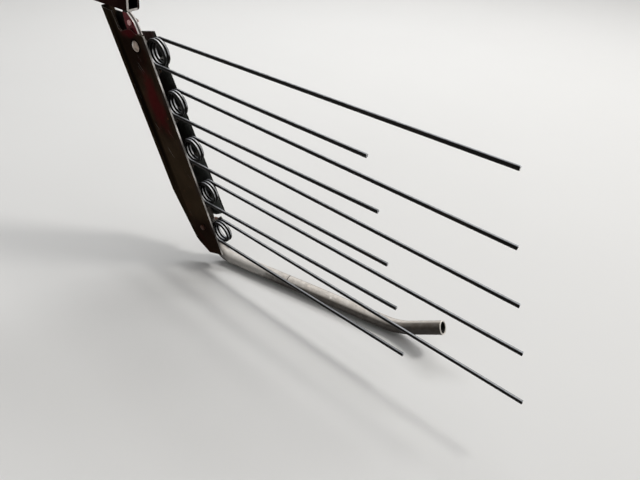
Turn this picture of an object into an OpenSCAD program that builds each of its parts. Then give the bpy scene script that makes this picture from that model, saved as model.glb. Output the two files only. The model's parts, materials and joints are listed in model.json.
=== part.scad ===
// Swath gate: a folded steel bar with five double spring tines, hung under a tubular arm.
// Millimetres. +X points to the rear, along the tines, +Y to the far side, and +Z is up.
// The origin is the centre of the cross hole by which the arm is pinned to the machine.

/* [Arm] */
// Length of the arm tube ahead of the pivot bolt, measured from the cross hole
arm_reach = 340; // [260:10:500]
// Height of the arm tube
arm_h = 50; // [40:1:70]
// Width of the arm tube
arm_w = 30; // [26:1:32]
// Wall of the arm tube
arm_wall = 5; // [2:0.5:6]
// Outer corner radius of the arm tube
arm_corner = 5; // [2:0.5:8]
// Distance from the front end of the arm to the cross hole
arm_front = 40; // [25:1:80]
// Diameter of the cross hole
arm_hole = 13; // [8:0.5:20]
// Slant of the arm's rear cut from upright
arm_mitre = 16; // [0:1:30]
// How far the lower rear corner of the arm stops short of the pivot bolt
arm_short = 15; // [8:1:20]

/* [Hanger] */
// Height of the arm's underside above the pivot bolt
hanger_drop = 61.5; // [55:0.5:80]
// Thickness of the hanger bar
hanger_t = 10; // [8:0.5:12]
// Radius of the hanger's lower end round the pivot bolt
hanger_r = 17; // [15:0.5:18]
// Reach of the hanger ahead of the pivot bolt
hanger_ahead = 30; // [24:1:36]
// Distance of the hanger's rear edge behind the pivot bolt, at the foot of its shoulder
hanger_behind = 12; // [10:0.5:15]
// Height of the hanger's upright front edge
hanger_edge = 22; // [15:1:30]
// Height of the stop bolt above the pivot bolt
stop_up = 44; // [43:0.5:48]
// Distance of the stop bolt ahead of the pivot bolt
stop_ahead = 9; // [7:0.5:11]

/* [Gate bar] */
// Lean of the bar from upright, its foot to the rear
bar_lean = 17.9; // [0:0.1:25]
// Thickness of the folded sheet
sheet = 4; // [3:0.5:5]
// Clear width between the near flange and the far plate
bar_gap = 32; // [31:0.5:40]
// Depth of the bar's foot below the pivot bolt
bar_foot = 504; // [490:1:560]
// Distance of the fold line ahead of the pivot bolt
fold_x = 43; // [38:1:50]
// Distance of the near flange's rear edge behind the pivot bolt
rim_x = 38.5; // [37:0.5:42]
// Width of the folded strip
strip_w = 53; // [40:1:60]
// Turn of the folded strip from the near flange
strip_turn = 8; // [2:1:12]
// Inner bend radius at the web
bend_r = 6; // [3:0.5:10]
// Height of the near flange's top edge above the pivot bolt
flange_top = 34; // [28:0.5:34]
// Run of the falling rear part of the near flange's top edge
corner_run = 37; // [20:1:40]
// Fall of the near flange's top edge at its rear edge
corner_fall = 16.5; // [12:0.5:19]
// Run of the steep start of the falling part
dip_run = 12.5; // [8:0.5:16]
// Fall of the steep start of the falling part
dip_fall = 11.5; // [8:0.5:13.5]
// Clear space between the strip's top and the arm
top_clear = 5; // [5:0.5:10]
// Run of the foot's steep cut, from its lowest point forward to the knee
knee_run = 38; // [25:1:45]
// Rise of the foot's steep cut
knee_rise = 38; // [25:1:50]
// Distance of the knee ahead of the fold line
knee_ahead = 9; // [4:1:15]
// Height above the foot at which the strip's long cut meets the web
strip_cut = 194; // [120:1:240]

/* [Far plate] */
// Height of the far plate's top edge above the pivot bolt, at the root of its ear
far_top = 25; // [20:1:32]
// Fall of the far plate's top edge towards the rear
far_fall = 6; // [0:1:15]
// Clear space between the arm and the ear at the far plate's top front corner
ear_gap = 19; // [10:1:30]
// Distance of the ear's rear corner ahead of the pivot bolt
ear_x = 52; // [45:1:60]
// Distance of the ear's root ahead of the pivot bolt
ear_root = 30; // [20:1:40]
// Height of the far plate's lower edge above the bar's foot
far_up = 96; // [95:1:109]
// Rear edge of the far plate at its top
far_x_top = 24; // [18:1:30]
// Rear edge of the far plate at its foot
far_x_foot = 56; // [40:1:62]
// Run of the cut across the far plate's rear lower corner
far_cut_x = 38; // [10:1:45]
// Rise of the cut across the far plate's rear lower corner
far_cut_z = 10; // [5:1:40]
// Run of the cut across the far plate's front lower corner
far_front_x = 60; // [20:1:80]
// Rise of the cut across the far plate's front lower corner
far_front_z = 110; // [60:1:150]

/* [Tines] */
// Height of the last coil's centre above the bar's foot
last_up = 64.3; // [60:0.1:72]
// Depth of the first coil below the pivot bolt
first_coil = 19.7; // [18:0.1:24]
// Distance of the coil centres behind the pivot bolt
coil_x = 48; // [47.5:0.1:50]
// Diameter of the spring wire
wire_d = 7.5; // [6:0.1:7.8]
// Mean diameter of the coils
coil_d = 49.5; // [48:0.5:50.5]
// Number of turns in each coil
coil_turns = 2.5; // [1.5, 2.5]
// Gap between the turns of a coil
turn_gap = 0.4; // [0.2:0.1:0.6]
// Length of the upper leg from the coil's centre
leg_long = 747; // [500:1:900]
// Length of the lower leg from the coil's centre
leg_short = 528; // [300:1:700]
// Angle of the tines from the square across the bar
tine_drop = 17.9; // [0:0.1:25]

/* [Tine clips] */
// Thickness of the clip strap
clip_t = 3; // [2:0.5:3]
// Width of the clip strap
clip_w = 14; // [10:1:14]
// Length of the clip's foot
clip_foot = 20; // [18:1:22]
// Depth of the clip's lip inside the coil
clip_lip = 7; // [4:0.5:9]
// Slant of the clips from straight ahead; the lowest clip slants up, the others down
clip_slant = 60; // [55:1:62]
// Diameter of the studs that hold the clips
stud_d = 8; // [6:1:8]

/* [Skid tube] */
// Outer diameter of the skid tube
skid_d = 30; // [26:0.5:30]
// Wall of the skid tube
skid_wall = 2.6; // [1.5:0.1:5]
// Distance of the skid tube's upright stretch behind the pivot bolt
skid_x = 3; // [0:0.5:3.5]
// Height of the skid tube's top end above the bar's foot
skid_up = 154; // [124:1:184]
// Radius of the bend at the foot of the bar
skid_bend_r = 55; // [45:1:70]
// Length of the level stretch
skid_run = 418; // [200:1:600]
// Height of the level stretch's centreline above the lowest point of the bar's foot
skid_rise = -8.6; // [-20:0.1:9]
// Outward skew of the level stretch, seen from above
skid_skew = 10.5; // [0:0.1:14]
// Radius of the turned-up end
tip_bend_r = 120; // [80:1:200]
// Angle of the turned-up end
tip_rise = 30; // [10:1:40]
// Straight length beyond the turned-up bend
tip_len = 74; // [30:1:120]

/* [Bolts] */
// Diameter of the pivot bolt
pivot_d = 10; // [8:0.5:12]
// Diameter of the pivot bolt's domed head
pivot_head_d = 22; // [18:0.5:24]
// Height of the pivot bolt's domed head
pivot_head_h = 5.5; // [4:0.5:7]
// Radial clearance of the pivot bolt in the hanger
pivot_fit = 0.05; // [0.02:0.01:0.1]
// Diameter of the stop bolt
stop_d = 6; // [5:0.5:6]
// Diameter of the skid tube's bolt
skid_bolt_d = 8; // [6:0.5:10]
// Height of the skid tube's bolt above the bar's foot
skid_bolt_up = 78; // [72:1:80]

/* [Hidden] */
// Number of double tines, each with its stud, clip and nut
tines = 5;
$fn = 64;

// Gap that keeps two pieces of one body from cutting into each other
seat = 0.3;
// Clearance of a bolt in a plain hole, and of a nut on its thread, on the radius
hole_fit = 0.3;
nut_fit = 0.05;
// Cutting tools reach this far past what they cut
past = 5;
// Length by which two runs of one piece enter each other, so that they make one solid
lap = 1;
// Sides of the swept spring wire, and rings in each of its turns
wire_sides = 10;
rings_per_turn = 20;

// Places along Y: the bar is centred on the arm
near_in = -bar_gap / 2;
near_out = near_in - sheet;
far_in = bar_gap / 2;
hanger_near = near_in + seat;
hanger_far = hanger_near + hanger_t;

// The pivot bolt's axis, seen along Y
pivot_x = arm_reach;
pivot_z = -arm_h / 2 - hanger_drop;

// The far plate, the tines and the skid tube go down with the bar's foot
far_foot = bar_foot - far_up;
tine_pitch = (bar_foot - last_up - first_coil) / (tines - 1);
skid_top = bar_foot - skid_up;
skid_depth = bar_foot * cos(bar_lean) - skid_rise;
skid_bolt_z = bar_foot - skid_bolt_up;

// Front face of the bar's web
web_x = -fold_x - strip_w * cos(strip_turn);
// The small cut of the near flange's rear top corner
nick = 2.5;
// The hanger's flanks start this far below the pivot bolt, inside its round end
flank_dip = 3;
flank_in = 1;
// The hanger's rounded rear shoulder: share of hanger_behind, fall below the arm
shoulder = [[-0.5, 7], [0.17, 15], [0.58, 25.5], [1, 38.5]];

// Degrees by which work has bent each long and each short leg down at its root
long_sag = [-0.3, 1, 0.8, 0, 0.5];
short_sag = [0.6, -0.3, -0.4, -1.5, -0.4];

// The coils, with the near turn just inside the near flange
coil_r = coil_d / 2;
turn_pitch = wire_d + turn_gap;
coil_rise = coil_turns * turn_pitch;
coil_near = near_in + seat + wire_d / 2;
coil_far = coil_near + coil_rise + wire_d / 2;

// The clip, measured out from the coil's centre: lip inside the coil, riser outside it, foot
clip_lip_r = sqrt(pow(coil_r - wire_d / 2, 2) - pow(clip_w / 2, 2)) - seat;
clip_riser_r = coil_r + wire_d / 2 + seat;
clip_end_r = clip_riser_r + clip_t + clip_foot;
stud_r = clip_end_r - clip_foot / 2;
clip_over = coil_far + seat;
stud_len = clip_t + stud_d + 4;

// Sizes of nuts, heads and washers follow the bolt's diameter
function nut_across(d) = 1.6 * d;
function nut_high(d) = 0.8 * d;
function head_high(d) = 0.65 * d;
function washer_d(d) = 2.1 * d;
washer_t = 2;
// Threads stand this far out of their nuts
thread_out = 4;

// The skid tube's bend, and where its level stretch starts in the bar's own frame
level_turn = acos(sin(bar_lean) * cos(skid_skew));
level_swing = atan2(sin(skid_skew), cos(bar_lean) * cos(skid_skew));
bend_out = skid_bend_r * (1 - cos(level_turn));
bend_down = skid_bend_r * sin(level_turn);
bend_end_x = skid_x + bend_out * cos(level_swing);
bend_end_z = (-skid_depth - sin(bar_lean) * bend_end_x) / cos(bar_lean);
bend_start_z = bend_end_z + bend_down;
// The bends are this much thicker than the runs, so that no two faces coincide
bend_extra = 0.1;

// Places a child that is drawn about the pivot bolt in the level frame of the arm
module at_pivot() {
    translate([pivot_x, 0, pivot_z]) children();
}

// Places a child that is drawn about the pivot bolt in the leaning frame of the bar
module in_bar() {
    at_pivot() rotate([0, -bar_lean, 0]) children();
}

// Places a child that is drawn about a coil's centre, its foot to -X, where clip k sits
module at_clip(k) {
    translate([coil_x, 0, coil_z(k)]) rotate([0, k < tines ? -clip_slant : clip_slant, 0]) children();
}

function coil_z(k) = -first_coil - (k - 1) * tine_pitch;

// Stands a flat outline, drawn as X and Z, up between two places along Y
module slab(y_from, y_to) {
    translate([0, y_to, 0]) rotate([90, 0, 0]) linear_extrude(height = y_to - y_from) children();
}

// A round bar or hole along Y
module rod(x, z, d, y_from, y_to) {
    translate([x, y_to, z]) rotate([90, 0, 0]) cylinder(d = d, h = y_to - y_from);
}

// A hexagon along Y, with a bore if one is given
module hexagon(x, z, across, y_from, y_to, bore = 0) {
    difference() {
        slab(y_from, y_to) translate([x, z]) circle(d = across / cos(30), $fn = 6);
        if (bore > 0) rod(x, z, bore, y_from - past, y_to + past);
    }
}

// A rectangle with true round corners
module round_rect(w, h, r) {
    square([w - 2 * r, h], center = true);
    square([w, h - 2 * r], center = true);
    for (i = [-1, 1], j = [-1, 1]) translate([i * (w / 2 - r), j * (h / 2 - r)]) circle(r = r);
}

// The arm: a rectangular tube, its rear end cut on a slant and left open
module arm_tube() {
    rear = arm_reach - arm_short;
    front = -arm_front;
    overhang = (arm_h + past) * tan(arm_mitre);
    inner_r = max(arm_corner - arm_wall, 1) + 1;
    color("#3a2c2a") difference() {
        translate([front, 0, 0]) rotate([90, 0, 90]) linear_extrude(height = rear - front + overhang)
            difference() {
                round_rect(arm_w, arm_h, arm_corner);
                round_rect(arm_w - 2 * arm_wall, arm_h - 2 * arm_wall, inner_r);
            }
        slab(-arm_w, arm_w) polygon([
            [rear, -arm_h / 2],
            [rear + overhang + past, -arm_h / 2 - past],
            [rear + overhang + past, arm_h / 2 + past],
            [rear + overhang, arm_h / 2 + past]]);
        rod(0, 0, arm_hole, -arm_w, arm_w);
    }
}

// The hanger: a flat bar welded under the arm, with the pivot bolt's bore at its lower end
module hanger_bar() {
    top = hanger_drop;
    flank = hanger_r - flank_in;
    color("#5a2b2b") at_pivot() difference() {
        union() {
            rod(0, 0, 2 * hanger_r, hanger_near, hanger_far);
            slab(hanger_near, hanger_far) polygon(concat(
                [[-flank, -flank_dip], [-hanger_ahead, top - hanger_edge], [-hanger_ahead, top], [-arm_short, top]],
                [for (s = shoulder) [s[0] * hanger_behind, top - s[1]]],
                [[flank, -flank_dip]]));
        }
        rod(0, 0, pivot_d + 2 * pivot_fit, hanger_near - past, hanger_far + past);
        rod(-stop_ahead, stop_up, stop_d + 2 * hole_fit, hanger_near - past, hanger_far + past);
    }
}

// The stop bolt: a hexagon bolt through the hanger, over the gate's top edge
module stop_bolt() {
    head = hanger_near - seat;
    color("#b58a8a") at_pivot() {
        hexagon(-stop_ahead, stop_up, nut_across(stop_d), head - head_high(stop_d), head);
        rod(-stop_ahead, stop_up, stop_d, head - lap, hanger_far + nut_high(stop_d) + thread_out);
    }
}

module stop_nut() {
    face = hanger_far + seat;
    color("#8a8a88") at_pivot()
        hexagon(-stop_ahead, stop_up, nut_across(stop_d), face, face + nut_high(stop_d), stop_d + 2 * nut_fit);
}

// The bar filled in to its outer or its inner faces, standing from z_from: inset is 0 or the sheet
module bar_fill(inset, z_from, height) {
    c = cos(strip_turn);
    s = sin(strip_turn);
    // Centre of the bend, as far from the strip's outer face as from the web's
    out_r = bend_r + sheet;
    centre_y = near_out + (out_r - (web_x + out_r + fold_x) * s) / c;
    r = out_r - inset;
    rear = rim_x + inset;
    // The fold's corner on this face, where the strip's line meets the flange's line
    fold_here = -fold_x + inset * tan(strip_turn / 2);
    translate([0, 0, z_from]) {
        linear_extrude(height = height) polygon([
            [rear, near_out + inset],
            [fold_here, near_out + inset],
            [web_x + out_r - r * s, centre_y - r * c],
            [web_x + inset, centre_y],
            [web_x + inset, far_in + inset],
            [rear, far_in + inset]]);
        translate([web_x + out_r, centre_y, 0]) cylinder(r = r, h = height);
    }
}

// Height in the bar's frame, at x, of a level line this far below the arm
function below_arm(gap, x) = (hanger_drop - gap - sin(bar_lean) * x) / cos(bar_lean);

// Outline of the bar seen along Y: its strip is cut level under the arm, its near flange lower down
module bar_outline() {
    front = web_x - lap;
    window = -fold_x - lap;
    slant_x = rim_x - corner_run;
    knee_x = -fold_x - knee_ahead;
    polygon([
        [front, below_arm(top_clear, front)],
        [window, below_arm(top_clear, window)],
        [window + 2 * lap, flange_top + 2 * nick],
        [window + 3 * nick, flange_top],
        [slant_x, flange_top],
        [slant_x + dip_run, flange_top - dip_fall],
        [rim_x - nick, flange_top - corner_fall],
        [rim_x, flange_top - corner_fall - nick],
        [rim_x, -bar_foot + nick],
        [knee_x + knee_run, -bar_foot],
        [knee_x, -bar_foot + knee_rise],
        [front, -bar_foot + strip_cut]]);
}

// The folded bar, with the studs of the tine clips welded inside its near flange
module gate_bar() {
    foot = -bar_foot - past;
    height = bar_foot + hanger_drop + fold_x + strip_w;
    color("#3b302c") in_bar() {
        difference() {
            intersection() {
                bar_fill(0, foot, height);
                slab(near_out - past, far_in) bar_outline();
            }
            bar_fill(sheet, foot - past, height + 2 * past);
            rod(0, 0, pivot_d + 2 * hole_fit, near_out - past, near_in + past);
            rod(skid_x, -skid_bolt_z, skid_bolt_d + 2 * hole_fit, near_out - past, near_in + past);
        }
        for (k = [1 : tines]) at_clip(k) rod(-stud_r, 0, stud_d, near_in - lap, near_in + stud_len);
    }
}

// The flat plate that closes the far side of the bar, with an ear at its top front corner
module far_plate() {
    color("#1d1d1f") in_bar() slab(far_in, far_in + sheet) polygon([
        [web_x, below_arm(ear_gap, web_x)],
        [-ear_x, below_arm(ear_gap, -ear_x)],
        [-ear_root, far_top],
        [far_x_top, far_top - far_fall],
        [far_x_foot, -far_foot + far_cut_z],
        [far_x_foot - far_cut_x, -far_foot],
        [web_x + far_front_x, -far_foot],
        [web_x, -far_foot + far_front_z]]);
}

// The pivot bolt: a domed carriage bolt through the near flange and the hanger
module pivot_bolt() {
    dome_r = (pow(pivot_head_d / 2, 2) + pow(pivot_head_h, 2)) / (2 * pivot_head_h);
    end = hanger_far + seat + washer_t + nut_high(pivot_d) + thread_out;
    color("#d9d2c4") in_bar() {
        translate([0, near_out, 0]) rotate([90, 0, 0]) rotate_extrude() intersection() {
            translate([0, pivot_head_h - dome_r]) circle(r = dome_r);
            square([pivot_head_d / 2, pivot_head_h]);
        }
        rod(0, 0, pivot_d, near_out - lap, end);
    }
}

module pivot_washer() {
    face = hanger_far + seat;
    color("#9a9a96") in_bar() difference() {
        rod(0, 0, washer_d(pivot_d), face, face + washer_t);
        rod(0, 0, pivot_d + 2 * hole_fit, face - past, face + past);
    }
}

module pivot_nut() {
    face = hanger_far + seat + washer_t;
    color("#9a9a96") in_bar()
        hexagon(0, 0, nut_across(pivot_d), face, face + nut_high(pivot_d), pivot_d + 2 * nut_fit);
}

// Centre line of double tine k about its coil's centre: short leg, helix, long leg
function tine_path(k) = let (
    steps = coil_turns * rings_per_turn,
    low = short_sag[k - 1],
    high = long_sag[k - 1])
concat(
    [[leg_short * cos(low), coil_near, -coil_r - leg_short * sin(low)]],
    [for (i = [0 : steps]) let (a = -90 - 360 * i / rings_per_turn)
        [coil_r * cos(a), coil_near + coil_rise * i / steps, coil_r * sin(a)]],
    [[leg_long * cos(high), coil_near + coil_rise, coil_r - leg_long * sin(high)]]);

// Unit direction of a path at point i, from its neighbours; at a leg's root it is the leg's own
function along(path, i) = let (
    last = len(path) - 1,
    d = i <= 1 ? path[1] - path[0]
        : i >= last - 1 ? path[last] - path[last - 1] : path[i + 1] - path[i - 1])
    d / norm(d);

// Sweeps a circle of diameter d along a path that stays near the XZ plane
module sweep_wire(path, d, sides) {
    n = len(path);
    points = [for (i = [0 : n - 1]) let (
            t = along(path, i),
            u = cross(t, [0, 1, 0]) / norm(cross(t, [0, 1, 0])),
            v = cross(u, t))
        for (j = [0 : sides - 1]) let (a = 360 * j / sides) path[i] + d / 2 * (cos(a) * u + sin(a) * v)];
    faces = concat(
        [[for (j = [0 : sides - 1]) j]],
        [for (i = [0 : n - 2], j = [0 : sides - 1]) let (k = (j + 1) % sides)
            [i * sides + j, (i + 1) * sides + j, (i + 1) * sides + k, i * sides + k]],
        [[for (j = [sides - 1 : -1 : 0]) (n - 1) * sides + j]]);
    polyhedron(points = points, faces = faces, convexity = 6);
}

// Double tine number k, counted from the top
module tine(k) {
    color("#2b2e33") in_bar() translate([coil_x, 0, coil_z(k)])
        rotate([0, tine_drop, 0]) sweep_wire(tine_path(k), wire_d, wire_sides);
}

// Clip number k: a folded strap that hooks round the coil, held by its stud's nut
module tine_clip(k) {
    color("#262322") in_bar() at_clip(k) difference() {
        translate([0, 0, -clip_w / 2]) linear_extrude(height = clip_w) polygon([
            [-clip_end_r, near_in],
            [-clip_riser_r, near_in],
            [-clip_riser_r, clip_over],
            [-clip_lip_r, clip_over],
            [-clip_lip_r, clip_over - clip_lip],
            [-clip_lip_r + clip_t, clip_over - clip_lip],
            [-clip_lip_r + clip_t, clip_over + clip_t],
            [-clip_riser_r - clip_t, clip_over + clip_t],
            [-clip_riser_r - clip_t, near_in + clip_t],
            [-clip_end_r, near_in + clip_t]]);
        rod(-stud_r, 0, stud_d + 2 * hole_fit, near_in - past, near_in + clip_t + past);
    }
}

module clip_nut(k) {
    face = near_in + clip_t;
    color("#55504c") in_bar() at_clip(k)
        hexagon(-stud_r, 0, nut_across(stud_d), face, face + nut_high(stud_d), stud_d + 2 * nut_fit);
}

// A round bar bent in the XZ plane: starts at the origin heading down and turns to +X
module bent_rod(r, angle, d) {
    translate([r, 0, 0]) rotate([90, 0, 0]) rotate([0, 0, 180]) rotate_extrude(angle = angle)
        translate([r, 0]) circle(d = d);
}

// The skid tube's form at diameter d: three straight runs joined by two bends of diameter bend_d,
// its two ends drawn out by the length ends
module skid_form(d, bend_d, ends) {
    upright = -skid_top - bend_start_z;
    translate([skid_x, 0, bend_start_z]) rotate([0, 0, level_swing]) {
        translate([0, 0, -lap]) cylinder(d = d, h = upright + lap + ends);
        bent_rod(skid_bend_r, level_turn, bend_d);
        translate([bend_out, 0, -bend_down]) rotate([0, -level_turn, 0]) {
            translate([0, 0, -skid_run - lap]) cylinder(d = d, h = skid_run + 2 * lap);
            translate([0, 0, -skid_run]) {
                bent_rod(tip_bend_r, tip_rise, bend_d);
                translate([tip_bend_r * (1 - cos(tip_rise)), 0, -tip_bend_r * sin(tip_rise)])
                    rotate([0, -tip_rise, 0]) translate([0, 0, -tip_len - ends])
                    cylinder(d = d, h = tip_len + lap + ends);
            }
        }
    }
}

// The skid tube: clamped upright in the bar's foot, bent rearwards, with a turned-up end
module skid_tube() {
    bore = skid_d - 2 * skid_wall;
    color("#7d776c") in_bar() difference() {
        skid_form(skid_d, skid_d + bend_extra, 0);
        skid_form(bore, bore - bend_extra, past);
        rod(skid_x, -skid_bolt_z, skid_bolt_d + 2 * hole_fit, -skid_d, skid_d);
    }
}

// The bolt that clamps the skid tube to the near flange
module skid_bolt() {
    head = near_out - seat;
    end = skid_d / 2 + seat + nut_high(skid_bolt_d) + thread_out;
    color("#6b3f2a") in_bar() {
        hexagon(skid_x, -skid_bolt_z, nut_across(skid_bolt_d), head - head_high(skid_bolt_d), head);
        rod(skid_x, -skid_bolt_z, skid_bolt_d, head - lap, end);
    }
}

module skid_nut() {
    face = skid_d / 2 + seat;
    color("#6b3f2a") in_bar() hexagon(skid_x, -skid_bolt_z, nut_across(skid_bolt_d), face,
        face + nut_high(skid_bolt_d), skid_bolt_d + 2 * nut_fit);
}

arm_tube();
hanger_bar();
stop_bolt();
stop_nut();
gate_bar();
far_plate();
pivot_bolt();
pivot_washer();
pivot_nut();
skid_tube();
skid_bolt();
skid_nut();
for (k = [1 : tines]) {
    tine(k);
    tine_clip(k);
    clip_nut(k);
}
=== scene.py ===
"""Looks of a tined swath gate: a leaning folded bar with spring tines and a skid tube, hung from an arm.

Metres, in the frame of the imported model: +X to the rear along the tines, +Y to the far side, +Z up.
The bar's own frame has its origin on the pivot bolt, its z along the bar and its x towards the tines.
Each sub-assembly is a class: its fields hold its sizes and finishes, build() makes and dresses its pieces.
"""

import json
import logging
import math
from dataclasses import dataclass
from enum import Enum

import bmesh
import bpy
import numpy as np
from mathutils import Matrix, Vector


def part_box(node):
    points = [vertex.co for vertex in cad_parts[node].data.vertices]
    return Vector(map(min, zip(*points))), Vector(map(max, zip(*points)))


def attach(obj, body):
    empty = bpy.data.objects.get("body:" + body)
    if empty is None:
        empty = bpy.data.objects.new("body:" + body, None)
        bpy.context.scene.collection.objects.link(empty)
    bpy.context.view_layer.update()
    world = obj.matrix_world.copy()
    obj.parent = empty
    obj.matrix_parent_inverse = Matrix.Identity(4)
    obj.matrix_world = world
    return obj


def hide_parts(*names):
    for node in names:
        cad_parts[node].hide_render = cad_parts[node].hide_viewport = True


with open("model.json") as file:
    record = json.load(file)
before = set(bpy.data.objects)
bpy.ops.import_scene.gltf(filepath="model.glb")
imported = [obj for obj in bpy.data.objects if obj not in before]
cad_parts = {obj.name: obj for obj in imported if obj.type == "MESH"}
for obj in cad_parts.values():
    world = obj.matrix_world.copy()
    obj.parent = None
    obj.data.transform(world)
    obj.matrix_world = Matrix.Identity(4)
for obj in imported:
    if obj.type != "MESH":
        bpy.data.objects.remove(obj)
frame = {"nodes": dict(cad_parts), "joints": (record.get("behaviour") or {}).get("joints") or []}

LOG = logging.getLogger("swath_gate")
MM = 0.001
SHARP = math.radians(32)  # edges that turn more than this stay sharp, or are rounded
FLAT = math.radians(0.4)  # triangles that turn less than this are one face
MERGE = 0.002 * MM  # points closer than this are one point
LAY = "lay"  # the attribute that holds a swept piece's unbent coordinates

FIT = 0.3 * MM  # gap under a head or a nut
PLAY = 0.1 * MM  # how much a nut's bore is wider than its thread
ACROSS, NUT_HEIGHT, HEAD_HEIGHT = 1.6, 0.8, 0.65  # hexagons, in diameters of the bolt
SUNK = 1 * MM  # how far a shank reaches into its head
PROUD = 4 * MM  # how far a thread stands out of its nut

Triple = tuple[float, float, float]
Colour = Triple  # red, green and blue from 0 to 255, as a screen shows them, unless it says linear
Socket = bpy.types.NodeSocket


class Body(Enum):
    """The bodies that the pieces ride on."""

    ARM = "arm"
    GATE = "gate"


class Slot(Enum):
    """The record's material slots."""

    ARM = "arm_steel"
    HANGER = "hanger_steel"
    BAR = "bar_steel"
    PLATE = "plate_steel"
    WIRE = "spring_wire"
    CLIP = "clip_steel"
    ZINC = "old_zinc"
    BRIGHT = "bright_bolt"
    STOP = "stop_bolt_steel"
    SKID = "skid_galvanised"
    RUST = "rusty_bolt"


class Pattern(Enum):
    """What a finish's pattern is fixed to: the object's own space, or the unbent length of a swept piece."""

    SPACE = "space"
    UNBENT = "unbent"


class Form(Enum):
    """How a zone measures its distance: as a box, or as a ball drawn out along its axes."""

    BOX = "box"
    BALL = "ball"


def paint(colour: Colour) -> Colour:
    """A screen's colour made linear: c / 12.92 below 0.04045, else ((c + 0.055) / 1.055) to the power 2.4."""
    c = np.array(colour) / 255
    return tuple(np.where(c <= 0.04045, c / 12.92, ((c + 0.055) / 1.055) ** 2.4).tolist())


@dataclass(frozen=True)
class Hang:
    """A frame about a point, the pivot bolt unless another is given: level, or leaning as the bar does."""

    lean: float = 0.0
    pivot: Triple = tuple(frame["joints"][0]["pos_m"])

    def place(self, points: np.ndarray) -> np.ndarray:
        """Turns points by the lean about Y, z falling back to +X, and moves them to the pivot."""
        c, s = math.cos(self.lean), math.sin(self.lean)
        return np.asarray(points, float) @ np.array([[c, 0, s], [0, 1, 0], [-s, 0, c]]) + self.pivot


LEVEL = Hang()
LEANING = Hang(math.radians(17.9))


@dataclass(frozen=True)
class Zone:
    """A place on a piece, of a centre and half sizes, where a share of another tone shows: patches of the
    piece's own colour, and painted light and shade.

    Its border is soft over a part of its size, and ragged by a noise of a given size.
    """

    centre: Triple
    half: Triple
    colour: Colour = (0, 0, 0)
    share: float = 0.8
    form: Form = Form.BALL
    soft: float = 0.3
    ragged: float = 0.6
    ragged_size: float = 14 * MM
    rough: float | None = None


def crisp_box(centre: Triple, half: Triple) -> Zone:
    """A box with a sharp border, which bounds a facing."""
    return Zone(centre, half, share=1.0, form=Form.BOX, soft=0.05, ragged=0.0)


@dataclass(frozen=True)
class Facing:
    """Faces turned a certain way that take another tone: painted highlights on lit edges, wires and tops, and
    painted shade on undersides.

    The tone grows from low to high, the normal's length along the direction, and is partly broken by gaps.
    """

    towards: Triple
    low: float
    high: float
    colour: Colour
    share: float = 0.8
    broken: float = 0.5
    both_ways: bool = False
    within: Zone | None = None


@dataclass(frozen=True)
class Cloud:
    """A fractal noise from 0 to 1, and the values between which a mask made from it rises to its share."""

    size: float
    detail: float = 4.0
    rough: float = 0.55
    bend: float = 0.0
    low: float = 0.3
    high: float = 0.7
    share: float = 1.0


FINE = Cloud(2.2 * MM, 5, 0.65, low=0.3, high=0.5)
MOTTLES = Cloud(34 * MM, 5, 0.6, 0.4, 0.34, 0.66)
STREAKS = Cloud(6 * MM, 4, 0.6, low=0.5, high=0.72, share=0.45)
BLOTCHES = Cloud(55 * MM, 6, 0.62, 0.8, 0.62, 0.7, 0.75)
SPOTS = Cloud(9 * MM, 6, 0.7, 0.3, 0.72, 0.8)
SCRATCHES = Cloud(1.1 * MM, 2, 0.5, low=0.7, high=0.74)
RUN_STRETCH, SCRATCH_STRETCH = (1, 1, 0.09), (1, 1, 0.03)  # marks are drawn out along Z
SCRATCH_TURN = 0.5  # how far the scratches lean, in radians
CHIPS = Cloud(7 * MM, low=0.7, high=0.75)
SETTLED = Cloud(16 * MM, 5, 0.7)
HAZE = Cloud(70 * MM, 6, 0.7, low=0.42, high=0.75, share=0.35)
GAPS = Cloud(6 * MM, 5, 0.7, low=0.62, high=0.4)
FLOOR_MOTTLE = Cloud(200 * MM, 5)


@dataclass
class Shell:
    """One closed surface: its points, its faces by size and, on a swept piece, its unbent coordinates."""

    points: np.ndarray
    faces: list[np.ndarray]
    lay: np.ndarray | None = None

    def outward(self) -> "Shell":
        """Turns the faces round if the shell's signed volume, the sum of its tetrahedra, is negative.

        Returns:
            This shell, with its faces pointing out.
        """
        volume = 0.0
        for rows in self.faces:
            corners = self.points[rows]
            for k in range(1, rows.shape[1] - 1):
                volume += np.einsum("ij,ij->", corners[:, 0], np.cross(corners[:, k], corners[:, k + 1]))
        if volume < 0:
            self.faces = [rows[:, ::-1] for rows in self.faces]
        return self


def grid_shell(rings: np.ndarray, lay: np.ndarray | None = None, ring_closed: bool = False) -> Shell:
    """Closes a grid of points into a shell: around each ring, and end to end or with a fan on each end.

    Args:
        rings: Points of shape (rings, points round, 3).
        lay: Unbent coordinates of the same shape, if the piece is swept.
        ring_closed: True joins the last ring to the first; False caps both ends at their middle.

    Returns:
        The shell, with its faces pointing out.
    """
    count, around, _ = rings.shape
    i, j = np.meshgrid(np.arange(count if ring_closed else count - 1), np.arange(around), indexing="ij")
    i, j, k, n = i.ravel(), j.ravel(), (j.ravel() + 1) % around, (i.ravel() + 1) % count
    faces = [np.stack([i * around + j, n * around + j, n * around + k, i * around + k], axis=1)]
    points, lays = rings.reshape(-1, 3), None if lay is None else lay.reshape(-1, 3)
    if not ring_closed:
        a = np.arange(around)
        b, base = (a + 1) % around, (count - 1) * around
        start, end = np.full(around, len(points)), np.full(around, len(points) + 1)
        fans = [np.stack([start, a, b], axis=1), np.stack([end, base + b, base + a], axis=1)]
        faces.append(np.concatenate(fans))
        points = np.concatenate([points, [rings[0].mean(0), rings[-1].mean(0)]])
        if lays is not None:
            lays = np.concatenate([lays, [lay[0].mean(0), lay[-1].mean(0)]])
    return Shell(points, faces, lays).outward()


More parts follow.
